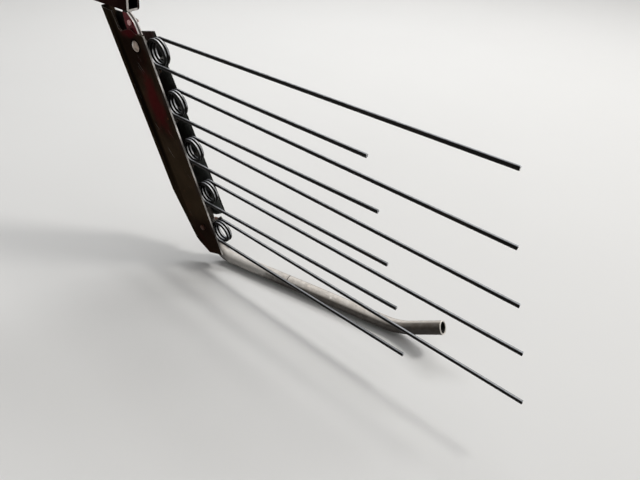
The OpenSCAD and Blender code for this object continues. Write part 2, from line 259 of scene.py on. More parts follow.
def circle(around: int) -> np.ndarray:
    """Unit circle as rows of (cos a, sin a) at equal angles, as many as there are points around."""
    a = np.arange(around) * 2 * math.pi / around
    return np.stack([np.cos(a), np.sin(a)], axis=1)


def carried(path: np.ndarray, across: np.ndarray, profile: np.ndarray) -> np.ndarray:
    """Carries a profile along a path: ring i is path[i] + u * profile[i, :, 0] + v * profile[i, :, 1].

    The tangent t comes from neighbouring points, u is across x t made unit, and v is t x u.

    Args:
        path: Points of shape (rings, 3).
        across: A direction square to the path's plane.
        profile: Offsets of shape (rings, points round, 2).

    Returns:
        Rings of shape (rings, points round, 3).
    """
    t = np.gradient(path, axis=0)
    t /= np.linalg.norm(t, axis=1, keepdims=True)
    u = np.cross(np.asarray(across, float), t)
    u /= np.linalg.norm(u, axis=1, keepdims=True)
    v = np.cross(t, u)
    return path[:, None] + profile[..., :1] * u[:, None] + profile[..., 1:] * v[:, None]


def smooth_noise(points: np.ndarray, seed: int, waves: int = 5) -> np.ndarray:
    """A gentle wobble from -1 to 1 about 1 wide: the mean of sine waves with seeded directions and phases."""
    rng = np.random.default_rng(seed)
    return np.sin(points @ rng.normal(size=(3, waves)) + rng.uniform(0, 2 * math.pi, waves)).mean(axis=-1)


def linked(name: str, data: bpy.types.ID) -> bpy.types.Object:
    """Makes an object and links it to the scene.

    Args:
        name: The object's name.
        data: Its mesh, lamp or camera.

    Returns:
        The new object, at the origin.
    """
    made = bpy.data.objects.new(name, data)
    bpy.context.scene.collection.objects.link(made)
    return made


def make_piece(name: str, shells: list[Shell]) -> bpy.types.Object:
    """Puts shells into one mesh object at the origin, smooth except across sharp edges.

    Args:
        name: The piece's name.
        shells: Its closed surfaces.

    Returns:
        The new object.
    """
    mesh = bpy.data.meshes.new(name)
    starts = np.cumsum([0] + [len(s.points) for s in shells])
    faces = [face for s, start in zip(shells, starts) for rows in s.faces for face in (rows + start).tolist()]
    mesh.from_pydata(np.concatenate([s.points for s in shells]).tolist(), [], faces)
    if all(s.lay is not None for s in shells):
        lay = mesh.attributes.new(LAY, "FLOAT_VECTOR", "POINT")
        lay.data.foreach_set("vector", np.concatenate([s.lay for s in shells]).astype(np.float32).ravel())
    mesh.shade_smooth()
    mesh.set_sharp_from_angle(angle=SHARP)
    mesh.update()
    return linked(name, mesh)


def rounded_copy(node: str, name: str, width: float) -> bpy.types.Object:
    """A copy of a node with its triangles merged into whole faces and its sharp edges rounded.

    Args:
        node: The node that is copied.
        name: The new piece's name.
        width: How far the rounding reaches from each edge.

    Returns:
        The new object.
    """
    mesh = bpy.data.meshes.new(name)
    work = bmesh.new()
    work.from_mesh(frame["nodes"][node].data)
    bmesh.ops.remove_doubles(work, verts=work.verts, dist=MERGE)
    bmesh.ops.dissolve_limit(work, angle_limit=FLAT, verts=work.verts, edges=work.edges)
    work.to_mesh(mesh)
    work.free()
    if "custom_normal" in mesh.attributes:
        mesh.attributes.remove(mesh.attributes["custom_normal"])
    mesh.materials.clear()
    mesh.shade_smooth()
    piece = linked(name, mesh)
    bevel = piece.modifiers.new("rounded edges", "BEVEL")
    bevel.width = width
    bevel.segments = 2
    bevel.limit_method = "ANGLE"
    bevel.angle_limit = SHARP
    bevel.harden_normals = True
    return piece


def settle(
        piece: bpy.types.Object, body: Body, slot: Slot, material: bpy.types.Material, *nodes: str) -> None:
    """Gives a piece its material and its body, hides the nodes that it stands for, and reports it.

    Args:
        piece: The finished piece.
        body: The body that it rides on.
        slot: Not used.
        material: Its material.
        nodes: The nodes that it replaces.
    """
    piece.data.materials.append(material)
    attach(piece, body.value)
    if nodes:
        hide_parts(*nodes)
    LOG.info("%s rides on %s, %d faces", piece.name, body.value, len(piece.data.polygons))


class Graph:
    """The node tree of a material or world, built by short calls, most of which return an output socket."""

    def __init__(self, owner: bpy.types.Material | bpy.types.World) -> None:
        """Starts an empty tree.

        Args:
            owner: The material or world.
        """
        owner.use_nodes = True
        self.owner, self.tree = owner, owner.node_tree
        self.tree.nodes.clear()

    def add(self, kind: str, inputs: dict | None = None, **settings: object) -> bpy.types.Node:
        """Adds a node.

        Args:
            kind: The node's type.
            inputs: Values or sockets for its inputs, by name or number.
            settings: Values for its own properties.

        Returns:
            The node.
        """
        node = self.tree.nodes.new(kind)
        for key, value in settings.items():
            setattr(node, key, value)
        for key, value in (inputs or {}).items():
            socket = node.inputs[key]
            if isinstance(value, Socket):
                self.tree.links.new(value, socket)
            elif socket.type == "RGBA":
                socket.default_value = (*value, 1.0)
            else:
                socket.default_value = value
        return node

    def maths(self, kind: str, *values: Socket | float, clamp: bool = False) -> Socket:
        """One arithmetic step on numbers, kept between 0 and 1 if it is clamped."""
        return self.add("ShaderNodeMath", dict(enumerate(values)), operation=kind, use_clamp=clamp).outputs[0]

    def vector(self, kind: str, *values: Socket | Triple) -> Socket:
        """One step on vectors, which gives a number for a dot product or a length."""
        node = self.add("ShaderNodeVectorMath", dict(enumerate(values)), operation=kind)
        return node.outputs["Value" if kind in ("DOT_PRODUCT", "LENGTH") else "Vector"]

    def times(self, first: Socket, second: Socket | float) -> Socket:
        """The product of two shares."""
        return self.maths("MULTIPLY", first, second, clamp=True)

    def most(self, first: Socket, second: Socket | float) -> Socket:
        """The larger of two shares."""
        return self.maths("MAXIMUM", first, second, clamp=True)

    def step(self, value: Socket, low: float, high: float) -> Socket:
        """A smooth step from 0 at low to 1 at high; with low above high it falls."""
        values = {"Value": value, "From Min": low, "From Max": high}
        return self.add("ShaderNodeMapRange", values, interpolation_type="SMOOTHSTEP").outputs["Result"]

    def tint(self, share: Socket, below: Socket | Colour, above: Socket | Colour) -> Socket:
        """Mixes two colours by a share."""
        return self.add("ShaderNodeMix", {0: share, 6: below, 7: above}, data_type="RGBA").outputs[2]

    def level(self, share: Socket, below: Socket | float, above: Socket | float) -> Socket:
        """Mixes two numbers by a share."""
        return self.add("ShaderNodeMix", {0: share, 2: below, 3: above}).outputs[0]

    def space(self, pattern: Pattern, hang: Hang = LEVEL) -> Socket:
        """Coordinates in metres that a pattern is fixed to: a swept piece's unbent ones, or those of a hang.

        Args:
            pattern: What the pattern is fixed to.
            hang: The frame whose coordinates are taken.

        Returns:
            The vector.
        """
        if pattern is Pattern.UNBENT:
            return self.add("ShaderNodeAttribute", attribute_name=LAY).outputs["Vector"]
        source = self.add("ShaderNodeTexCoord").outputs["Object"]
        c, s = math.cos(hang.lean), math.sin(hang.lean)
        x, y, z = hang.pivot
        move = (-c * x - s * z, -y, s * x - c * z)
        values = {"Vector": source, "Rotation": (0, hang.lean, 0), "Location": move}
        return self.add("ShaderNodeMapping", values).outputs[0]

    def stretched(self, where: Socket, factors: Triple, turn: float = 0.0) -> Socket:
        """Coordinates turned about Y, then multiplied along each axis; a small factor draws marks out."""
        turned_round = self.add("ShaderNodeMapping", {"Vector": where, "Rotation": (0, turn, 0)}).outputs[0]
        return self.vector("MULTIPLY", turned_round, factors)

    def noise(self, where: Socket, cloud: Cloud) -> Socket:
        """Fractal noise from 0 to 1 whose blotches are about as wide as the cloud's size."""
        values = {"Vector": where, "Scale": 0.5 / cloud.size, "Detail": cloud.detail,
                  "Roughness": cloud.rough, "Distortion": cloud.bend}
        return self.add("ShaderNodeTexNoise", values).outputs["Fac"]

    def mask(self, where: Socket, cloud: Cloud, sooner: float = 0.0, fuller: float = 0.0) -> Socket:
        """A cloud times its share, stepped from sooner below its low value to fuller below its high one."""
        mask = self.step(self.noise(where, cloud), cloud.low - sooner, cloud.high - fuller)
        return self.times(mask, cloud.share)

    def zone(self, where: Socket, zone: Zone) -> Socket:
        """The share of a zone's tone: distance from its centre in half sizes, plus noise, stepped down at 1.

        Args:
            where: Coordinates in which the zone is placed.
            zone: The zone.

        Returns:
            The share, up to the zone's own.
        """
        away = self.vector("SUBTRACT", where, zone.centre)
        away = self.vector("MULTIPLY", away, tuple(1 / h for h in zone.half))
        if zone.form is Form.BALL:
            far = self.vector("LENGTH", away)
        else:
            x, y, z = self.add("ShaderNodeSeparateXYZ", {0: self.vector("ABSOLUTE", away)}).outputs
            far = self.maths("MAXIMUM", self.maths("MAXIMUM", x, y), z)
        if zone.ragged:
            wobble = self.noise(where, Cloud(zone.ragged_size, 5, 0.65))
            shift = self.maths("MULTIPLY", self.maths("ADD", wobble, -0.5), 2 * zone.ragged)
            far = self.maths("ADD", far, shift)
        return self.times(self.step(far, 1 + zone.soft, 1 - zone.soft), zone.share)

    def facing(self, where: Socket, facing: Facing) -> Socket:
        """The share of a facing's tone: the object's normal along its direction, stepped, broken by noise.

        Args:
            where: Coordinates of the noise.
            facing: The facing.

        Returns:
            The share, up to the facing's own.
        """
        turn = self.vector("DOT_PRODUCT", self.add("ShaderNodeTexCoord").outputs["Normal"], facing.towards)
        if facing.both_ways:
            turn = self.maths("ABSOLUTE", turn)
        mask = self.step(turn, facing.low, facing.high)
        if facing.broken:
            mask = self.times(mask, self.level(self.mask(where, GAPS), 1 - facing.broken, 1.0))
        if facing.within:
            mask = self.times(mask, self.zone(where, facing.within))
        return self.times(mask, facing.share)

    def edges(self, radius: float, low: float, high: float) -> Socket:
        """How much a surface turns within a radius, stepped from low to high: 1 on edges, 0 on flats."""
        nodes = self.add("ShaderNodeBevel", {"Radius": radius}, samples=4), self.add("ShaderNodeNewGeometry")
        return self.step(self.vector("DOT_PRODUCT", *(n.outputs["Normal"] for n in nodes)), 1 - low, 1 - high)

    def upward(self, low: float, high: float) -> Socket:
        """1 where the piece's own surface faces up, 0 where it doesn't, between two heights of its normal."""
        normal = self.add("ShaderNodeTexCoord").outputs["Normal"]
        return self.step(self.add("ShaderNodeSeparateXYZ", {0: normal}).outputs["Z"], low, high)

    def relief(self, height: Socket, depth: float, strength: float, under: Socket | None = None) -> Socket:
        """A bump of a given depth in metres, laid over another one if there is one."""
        values = {"Height": height, "Distance": depth, "Strength": strength}
        return self.add("ShaderNodeBump", values if under is None else {**values, "Normal": under}).outputs[0]

    def close(self, **inputs: object) -> bpy.types.Material:
        """Ends the tree in a Principled shader.

        Args:
            inputs: The shader's inputs, with _ for a space.

        Returns:
            The material.
        """
        values = {key.replace("_", " "): value for key, value in inputs.items()}
        shader = self.add("ShaderNodeBsdfPrincipled", values)
        self.add("ShaderNodeOutputMaterial", {"Surface": shader.outputs[0]})
        return self.owner


@dataclass(frozen=True)
class Steel:
    """Steel that works outdoors: mottled paint, patches, run marks, scratches, rust, bare edges and dust,
    with painted highlights and shade on given faces and places.
    """

    name: str
    base: Colour
    dark: Colour
    patch: Colour
    rubbed: Colour
    rust: Colour = (92, 52, 34)
    dust: Colour = (150, 132, 108)
    patches: float = 0.55
    rusting: float = 0.5
    wear: float = 0.6
    dusting: float = 0.3
    scratching: float = 0.5
    metal: float = 0.0
    smooth: float = 0.42
    coarse: float = 0.68
    rust_rough: float = 0.9
    bare_rough: float = 0.34
    dust_rough: float = 0.95
    bare_metal: float = 0.8
    bare_shine: float = 0.5
    rust_dull: float = 0.55
    rust_bright: float = 1.35
    grain: float = 1.0
    grain_depth: float = 0.25 * MM
    mottle_depth: float = 0.9 * MM
    shine: float = 0.2
    hang: Hang = LEVEL
    pattern: Pattern = Pattern.SPACE
    facings: tuple[Facing, ...] = ()
    zones: tuple[Zone, ...] = ()

    def material(self) -> bpy.types.Material:
        """Builds the finish: paint first, then rust, bare steel, the facings' painted highlights and shade,
        dust, and the zones' patches and painted light and shade.

        Returns:
            The material.
        """
        g = Graph(bpy.data.materials.new(self.name))
        here = g.space(self.pattern, self.hang)
        fine, mottles = g.noise(here, FINE), g.noise(here, MOTTLES)
        dark, brown = paint(self.dark), paint(self.rust)
        colour = g.tint(g.step(mottles, MOTTLES.low, MOTTLES.high), dark, paint(self.base))
        colour = g.tint(g.mask(g.stretched(here, RUN_STRETCH), STREAKS), colour, dark)
        patches = g.mask(here, BLOTCHES, 0.2 * self.patches, 0.2 * self.patches)
        colour = g.tint(g.times(patches, g.step(fine, FINE.low, FINE.high)), colour, paint(self.patch))

        rust = g.mask(here, SPOTS, 0.24 * self.rusting, 0.2 * self.rusting)
        dull, bright = (tuple(min(k * c, 1) for c in brown) for k in (self.rust_dull, self.rust_bright))
        colour = g.tint(rust, colour, g.tint(fine, dull, bright))

        scratches = g.mask(g.stretched(here, SCRATCH_STRETCH, SCRATCH_TURN), SCRATCHES)
        chips = g.mask(here, CHIPS, self.wear, 0.5 * self.wear)
        edges = g.times(g.edges(radius=2.2 * MM, low=0.04, high=0.3), chips)
        bare = g.most(g.times(scratches, self.scratching), edges)
        colour = g.tint(bare, colour, paint(self.rubbed))
        for facing in self.facings:
            colour = g.tint(g.facing(here, facing), colour, paint(facing.colour))

        settled = g.times(g.upward(low=0.1, high=0.9), g.mask(here, SETTLED))
        dust = g.times(g.most(settled, g.mask(here, HAZE)), self.dusting)
        colour = g.tint(dust, colour, paint(self.dust))
        rough = g.level(mottles, self.smooth, self.coarse)
        for share, value in ((rust, self.rust_rough), (bare, self.bare_rough), (dust, self.dust_rough)):
            rough = g.level(share, rough, value)
        for zone in self.zones:
            share = g.zone(here, zone)
            colour = g.tint(share, colour, paint(zone.colour))
            if zone.rough is not None:
                rough = g.level(share, rough, zone.rough)

        metal = g.level(rust, g.most(g.times(bare, self.bare_metal), self.metal), 0.0)
        height = g.maths("ADD", g.times(fine, 0.6), g.times(rust, 0.4), clamp=True)
        bump = g.relief(height, self.grain_depth, 0.5 * self.grain)
        bump = g.relief(mottles, self.mottle_depth, 0.25 * self.grain, bump)
        shine = g.level(bare, self.shine, self.bare_shine)
        return g.close(
            Base_Color=colour, Roughness=rough, Metallic=metal, Normal=bump, Specular_IOR_Level=shine)


@dataclass(frozen=True)
class Lamp:
    """A rectangular soft lamp: its place, its width and height, its power in watts and its linear colour."""

    name: str
    place: Triple
    size: tuple[float, float]
    power: float
    colour: Colour


@dataclass(frozen=True)
class Studio:
    """The camera, the lamps and the pale floor."""

    eye: Triple = (1.2695, -0.569, 0.2576)
    heading: float = 128.075
    downward: float = 40.135
    roll: float = 2.042
    focal_pixels: float = 481.0
    picture_width: float = 640.0
    sensor: float = 36.0
    clip: tuple[float, float] = (0.01, 60.0)
    floor_drop: float = 3 * MM
    floor_size: float = 14.0
    floor_colour: Colour = (221, 220, 218)
    floor_shade: float = 0.97
    floor_rough: float = 0.9
    ambient: float = 0.15
    aim: Triple = (0.55, 0.0, -0.3)
    lamps: tuple[Lamp, ...] = (
        Lamp("key", (2.6, 2.4, 3.4), (0.7, 0.7), 80.0, (1.0, 0.985, 0.96)),
        Lamp("fill", (-0.6, -2.6, 1.3), (2.2, 2.2), 10.0, (0.96, 0.98, 1.0)),
        Lamp("strip", (-0.9, 2.3, 2.3), (4.2, 0.4), 75.0, (0.97, 0.985, 1.0)),
    )
    sun_from: Triple = (0.35, 0.4, 0.85)
    sun_strength: float = 1.25
    sun_angle: float = 1.3

    def build(self) -> None:
        """Makes the camera, the floor, the world and the lamps."""
        self.camera()
        self.floor()
        self.world()
        for lamp in self.lamps:
            self.hang_lamp(lamp)
        self.daylight()
        bpy.context.scene.view_settings.view_transform = "Standard"

    def camera(self) -> None:
        """Stands the camera where the photograph was taken from: heading, then tilt down, then roll."""
        data = bpy.data.cameras.new("camera")
        data.sensor_width = self.sensor
        data.lens = self.focal_pixels / self.picture_width * self.sensor
        data.clip_start, data.clip_end = self.clip
        camera = linked("camera", data)
        yaw = Matrix.Rotation(math.radians(self.heading - 90), 4, "Z")
        tilt = Matrix.Rotation(math.radians(90 - self.downward), 4, "X")
        roll = Matrix.Rotation(math.radians(self.roll), 4, "Z")
        camera.matrix_world = Matrix.Translation(self.eye) @ yaw @ tilt @ roll
        bpy.context.scene.camera = camera

    def floor(self) -> None:
        """Lays a plain pale floor just under the object's lowest point."""
        level = min(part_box(n)[0].z for n in frame["nodes"]) - self.floor_drop
        half = self.floor_size / 2
        corners = [(x, y, level) for x, y in ((-half, -half), (half, -half), (half, half), (-half, half))]
        mesh = bpy.data.meshes.new("floor")
        mesh.from_pydata(corners, [], [(0, 1, 2, 3)])
        floor = linked("floor", mesh)
        g = Graph(bpy.data.materials.new("floor paint"))
        mottle = g.noise(g.space(Pattern.SPACE), FLOOR_MOTTLE)
        pale = paint(self.floor_colour)
        tone = g.tint(mottle, tuple(self.floor_shade * c for c in pale), pale)
        mesh.materials.append(g.close(Base_Color=tone, Roughness=self.floor_rough))

    def world(self) -> None:
        """Lights everything softly from all round, and shows the same pale tone behind the object."""
        bpy.context.scene.world = bpy.data.worlds.new("studio")
        g, pale = Graph(bpy.context.scene.world), paint(self.floor_colour)
        light = g.add("ShaderNodeBackground", {"Color": pale, "Strength": self.ambient}).outputs[0]
        seen = g.add("ShaderNodeBackground", {"Color": pale}).outputs[0]
        ray = g.add("ShaderNodeLightPath").outputs["Is Camera Ray"]
        both = g.add("ShaderNodeMixShader", {0: ray, 1: light, 2: seen}).outputs[0]
        g.add("ShaderNodeOutputWorld", {"Surface": both})

    def hang_lamp(self, lamp: Lamp) -> None:
        """Hangs a lamp and points it at the object.

        Args:
            lamp: The lamp.
        """
        data = bpy.data.lights.new(lamp.name, "AREA")
        data.shape = "RECTANGLE"
        data.size, data.size_y = lamp.size
        data.energy, data.color = lamp.power, lamp.colour
        towards = (Vector(self.aim) - Vector(lamp.place)).to_track_quat("-Z", "Y")
        linked(lamp.name, data).matrix_world = Matrix.Translation(lamp.place) @ towards.to_matrix().to_4x4()

    def daylight(self) -> None:
        """Sends a broad even light over the whole floor from the far side."""
        data = bpy.data.lights.new("daylight", "SUN")
        data.energy, data.angle = self.sun_strength, self.sun_angle
        towards = Vector(self.sun_from).to_track_quat("Z", "Y")
        linked("daylight", data).matrix_world = towards.to_matrix().to_4x4()


@dataclass(frozen=True)
class Spindle:
    """A line along Y in a hanging frame, on which bolts, nuts and washers are turned."""

    hang: Hang
    x: float
    z: float
    y: float
    away: int = 1

    def turn(self, r: np.ndarray, along: np.ndarray, bored: bool = False) -> Shell:
        """A turned form, whose rings are (x + r cos a, y + away * h, z + r sin a).

        Args:
            r: Radii of shape (rings, points round).
            along: Distances h from the spindle's start, one for each ring.
            bored: True joins the last ring to the first.

        Returns:
            The closed surface.
        """
        c, h = circle(r.shape[1]), np.broadcast_to(along[:, None], r.shape)
        rings = np.stack([self.x + r * c[:, 0], self.y + self.away * h, self.z + r * c[:, 1]], axis=-1)
        return grid_shell(self.hang.place(rings), ring_closed=bored)

    def lathe(self, profile: list[tuple[float, float]], bored: bool = False, around: int = 48) -> Shell:
        """A round form from a profile of (radius, distance along), whose ends are joined if it is bored."""
        rows = np.array(profile, float)
        return self.turn(np.repeat(rows[:, :1], around, axis=1), rows[:, 1], bored)


@dataclass(frozen=True)
class Hexagon:
    """A hexagon with rounded corners top and bottom, plain for a bolt head or bored for a nut."""

    across: float
    height: float
    bore: float = 0.0
    per_side: int = 10
    steps: int = 6
    chamfer: float = math.radians(30)
    face_share: float = 0.475
    corner_share: float = 0.58
    eye_share: float = 0.15
    lip: float = 0.6 * MM

    def shell(self, spindle: Spindle) -> Shell:
        """Radius is the smaller of the hexagon's, half across / cos(a), and that of the chamfer's cone.

        Args:
            spindle: Where it sits.

        Returns:
            The closed surface.
        """
        a = np.arange(6 * self.per_side) * 2 * math.pi / (6 * self.per_side)
        flat = self.across / 2 / np.cos((a + math.pi / 6) % (math.pi / 3) - math.pi / 6)
        cone = np.linspace(self.face_share * self.across, self.corner_share * self.across, self.steps)
        rise = (cone - cone[0]) * math.tan(self.chamfer)
        inner = self.bore / 2 if self.bore else self.eye_share * self.across
        limit = np.concatenate([[inner], cone, cone[::-1], [inner]])
        along = np.concatenate([[0.0], rise, self.height - rise[::-1], [self.height]])
        if self.bore:
            limit[[0, -1]] += self.lip
            limit = np.concatenate([limit, [inner, inner]])
            along = np.concatenate([along, [self.height - self.lip, self.lip]])
        return spindle.turn(np.minimum(limit[:, None], flat), along, bored=bool(self.bore))


@dataclass(frozen=True)
class Thread:
    """A threaded shank with a chamfered end."""

    diameter: float
    pitch: float
    plain: float
    length: float
    around: int = 24
    per_pitch: int = 6
    depth_share: float = 0.6

    def shell(self, spindle: Spindle) -> Shell:
        """Radius falls by the thread's depth in a triangle wave of (h / pitch - a / turn), a true helix.

        Args:
            spindle: Where it starts and which way it goes.

        Returns:
            The closed surface.
        """
        rings = max(2, int((self.length - self.plain) / self.pitch * self.per_pitch))
        h = np.concatenate([[0.0], np.linspace(self.plain, self.length, rings)])
        turn = np.arange(self.around) / self.around
        wave = np.abs(((h[:, None] - self.plain) / self.pitch - turn[None]) % 1.0 * 2 - 1)
        cut = np.where(h[:, None] > self.plain, self.depth_share * self.pitch * wave, 0.0)
        end = self.diameter / 2 - np.clip(h - (self.length - self.pitch), 0, None)
        return spindle.turn(np.minimum(self.diameter / 2 - cut, end[:, None]), h)


def nut(spindle: Spindle, diameter: float) -> Shell:
    """A hexagon nut for a bolt of a diameter, standing on the spindle's start."""
    return Hexagon(ACROSS * diameter, NUT_HEIGHT * diameter, diameter + PLAY).shell(spindle)


@dataclass(frozen=True)
class Bolt:
    """A bolt along Y: its head sits at the near y named head, its nut at the one named far."""

    hang: Hang
    x: float
    z: float
    diameter: float
    pitch: float
    plain: float
    head: float
    far: float

    def at(self, y: float, away: int = 1) -> Spindle:
        """Its axis from a given y on, to the far side or back."""
        return Spindle(self.hang, self.x, self.z, y, away)

    def shank(self) -> Shell:
        """The threaded shank, from inside the head to a little beyond the nut."""
        length = self.far + NUT_HEIGHT * self.diameter + PROUD - self.head + SUNK
        return Thread(self.diameter, self.pitch, self.plain, length).shell(self.at(self.head - SUNK))

    def hexagon_head(self) -> Shell:
        """A hexagon head."""
        return Hexagon(ACROSS * self.diameter, HEAD_HEIGHT * self.diameter).shell(self.at(self.head, -1))


def washer(spindle: Spindle, bore: float, outer: float, thick: float, soft: float = 0.35 * MM) -> Shell:
    """A flat washer with a soft outer edge."""
    edge = [(outer / 2 - soft, 0), (outer / 2, soft), (outer / 2, thick - soft), (outer / 2 - soft, thick)]
    return spindle.lathe([(bore / 2, 0), *edge, (bore / 2, thick)], bored=True)


@dataclass(frozen=True)
class Bead:
    """A weld bead laid in a straight corner."""

    start: Triple
    end: Triple
    radius: float
    hang: Hang
    seed: int
    ripple: float = 2.6 * MM
    per_ripple: int = 5
    around: int = 14
    wander: float = 0.25
    wander_size: float = 9 * MM
    swell: float = 0.08
    swell_size: float = 14 * MM
    crescent: float = 0.12
    bow: float = 0.6

    def shell(self) -> Shell:
        """A round bead on a line that wanders a little; its radius swells in crescents and thins at its ends.

        The crescents are a saw wave of (s + bow * radius * cos a) / ripple, s the distance along the bead.

        Returns:
            The closed surface.
        """
        a, b = np.array(self.start, float), np.array(self.end, float)
        length = float(np.linalg.norm(b - a))
        s = np.linspace(0, length, max(12, int(length / self.ripple * self.per_ripple)))
        path = a + (b - a) * (s / length)[:, None]
        wobble = smooth_noise(path / self.wander_size, self.seed)
        path = path + self.wander * self.radius * wobble[:, None] * np.array([0.0, 1.0, 1.0])
        ends = np.sqrt(np.clip(np.minimum(s, length - s) / (1.2 * self.radius), 0.04, 1))
        c = circle(self.around)
        wave = ((s[:, None] + self.bow * self.radius * c[None, :, 0]) / self.ripple) % 1.0
        swell = self.swell * smooth_noise(path / self.swell_size, self.seed + 1)[:, None]
        r = self.radius * ends[:, None] * (1 + self.crescent * (0.5 - wave) + swell)
        return grid_shell(self.hang.place(carried(path, (0, 1, 0), r[..., None] * c[None])))


@dataclass(frozen=True)
class SubAssembly:
    """Pieces that ride on one body, most of which stand for a node of the model."""

    body: Body = Body.GATE

    def rounded(self, node: str, width: float, slot: Slot, material: bpy.types.Material) -> None:
        """Puts a copy of a node with rounded edges in the node's place."""
        settle(rounded_copy(node, f"{node}_dressed", width), self.body, slot, material, node)

    def rebuilt(self, node: str, shells: list[Shell], slot: Slot, material: bpy.types.Material) -> None:
        """Puts a piece made of shells in a node's place."""
        settle(make_piece(f"{node}_dressed", shells), self.body, slot, material, node)


@dataclass(frozen=True)
class Arm(SubAssembly):
    """The arm tube with the hanger bar welded under it, and the stop bolt."""

    body: Body = Body.ARM
    finish: Steel = Steel(
        "arm paint", (44, 27, 24), (31, 18, 16), (58, 22, 21), (150, 144, 136),
        rust=(72, 43, 30), patches=0.3, dusting=0.05, shine=0.0, smooth=0.5,
        facings=(
            # Painted highlight: a light tone on the arm tube's cut end, which faces the rear and a little
            # down.
            Facing((0.961, 0.0, -0.276), 0.9, 0.97, (224, 219, 214), 0.9, 0.25,
                   within=crisp_box((0.0, -0.0045, 0.0865), (0.5, 0.0145, 0.1))),
        ),
        zones=(
            # Painted shade: a near-black box inside the hollow of the arm tube.
            Zone((-0.2, 0, 0.0865), (0.4, 0.0103, 0.0203), (10, 8, 7), 0.95, Form.BOX, 0.015, 0.0,
                 rough=0.95),
        ))
    hanger_finish: Steel = Steel(
        "hanger paint", (136, 44, 54), (92, 30, 36), (172, 46, 62), (176, 168, 160),
        patches=0.5, wear=0.75, dusting=0.05, shine=0.08,
        # Painted highlight: a light tone on the hanger's edge faces, those that don't face along Y.
        facings=(Facing((0.0, 1.0, 0.0), 0.55, 0.25, (232, 228, 224), 0.95, 0.25, both_ways=True),),
        zones=(
            # Painted shade down the middle of the hanger's edge faces, which leaves painted highlight lines
            # along their corners.
            Zone((0.0, -0.0104, 0.03), (0.2, 0.0023, 0.2), (24, 18, 17), 0.9, Form.BOX, 0.12, 0.15, 5 * MM),
        ))
    weld_finish: Steel = Steel(
        "weld", (40, 29, 26), (24, 18, 17), (52, 24, 22), (120, 114, 108),
        rusting=0.7, coarse=0.85, dusting=0.12)
    stop_finish: Steel = Steel(
        "stop bolt plating", (232, 190, 186), (206, 152, 150), (190, 112, 112),
        (236, 226, 220), patches=0.35, metal=0.05, dusting=0.1, shine=0.5)
    nut_finish: Steel = Steel(
        "dull zinc", (132, 130, 124), (98, 95, 90), (112, 104, 92), (176, 174, 168),
        rusting=0.6, metal=0.7, dusting=0.35)
    edge: float = 0.6 * MM
    hanger_edge: float = 0.9 * MM
    hanger_near: float = -15.7 * MM
    hanger_far: float = -5.7 * MM
    underside: float = 61.5 * MM
    bead_radius: float = 2.6 * MM
    bead_front: float = -29 * MM
    bead_rear: float = -15.5 * MM
    bead_sunk: float = 0.6 * MM
    near_bead_in: float = 0.9 * MM
    near_bead_up: float = 1.2 * MM
    far_bead_out: float = 0.4 * MM
    front_bead_out: float = 0.8 * MM
    stop_x: float = -9 * MM
    stop_z: float = 44 * MM
    stop_d: float = 6 * MM
    stop_pitch: float = 1 * MM
    stop_plain: float = 9 * MM

    def build(self) -> None:
        """Builds and dresses the arm, the hanger, its weld beads, the stop bolt and its nut."""
        self.rounded("arm_tube", self.edge, Slot.ARM, self.finish.material())
        self.rounded("hanger_bar", self.hanger_edge, Slot.HANGER, self.hanger_finish.material())
        welds = make_piece("hanger_welds", self.beads())
        settle(welds, self.body, Slot.HANGER, self.weld_finish.material())
        stop = Bolt(LEVEL, self.stop_x, self.stop_z, self.stop_d, self.stop_pitch, self.stop_plain,
                    self.hanger_near - FIT, self.hanger_far)
        self.rebuilt("stop_bolt", [stop.hexagon_head(), stop.shank()], Slot.STOP, self.stop_finish.material())
        end = stop.at(self.hanger_far + FIT)
        self.rebuilt("stop_nut", [nut(end, self.stop_d)], Slot.ZINC, self.nut_finish.material())

    def beads(self) -> list[Shell]:
        """Fillet beads along both sides of the hanger's top, and a short one across its front.

        Returns:
            The closed surfaces.
        """
        front, rear, low = self.bead_front, self.bead_rear, self.underside - self.bead_sunk
        near, far = self.hanger_near + self.near_bead_in, self.hanger_far + self.far_bead_out
        lifted, ahead = low + self.near_bead_up, front - self.front_bead_out
        runs = (
            ((front, near, lifted), (rear, near, lifted), 0.8, 3),
            ((front, far, low), (rear, far, low), 1.0, 5),
            ((ahead, near, low), (ahead, far, low), 0.9, 8),
        )
        return [Bead(a, b, share * self.bead_radius, LEVEL, seed).shell() for a, b, share, seed in runs]


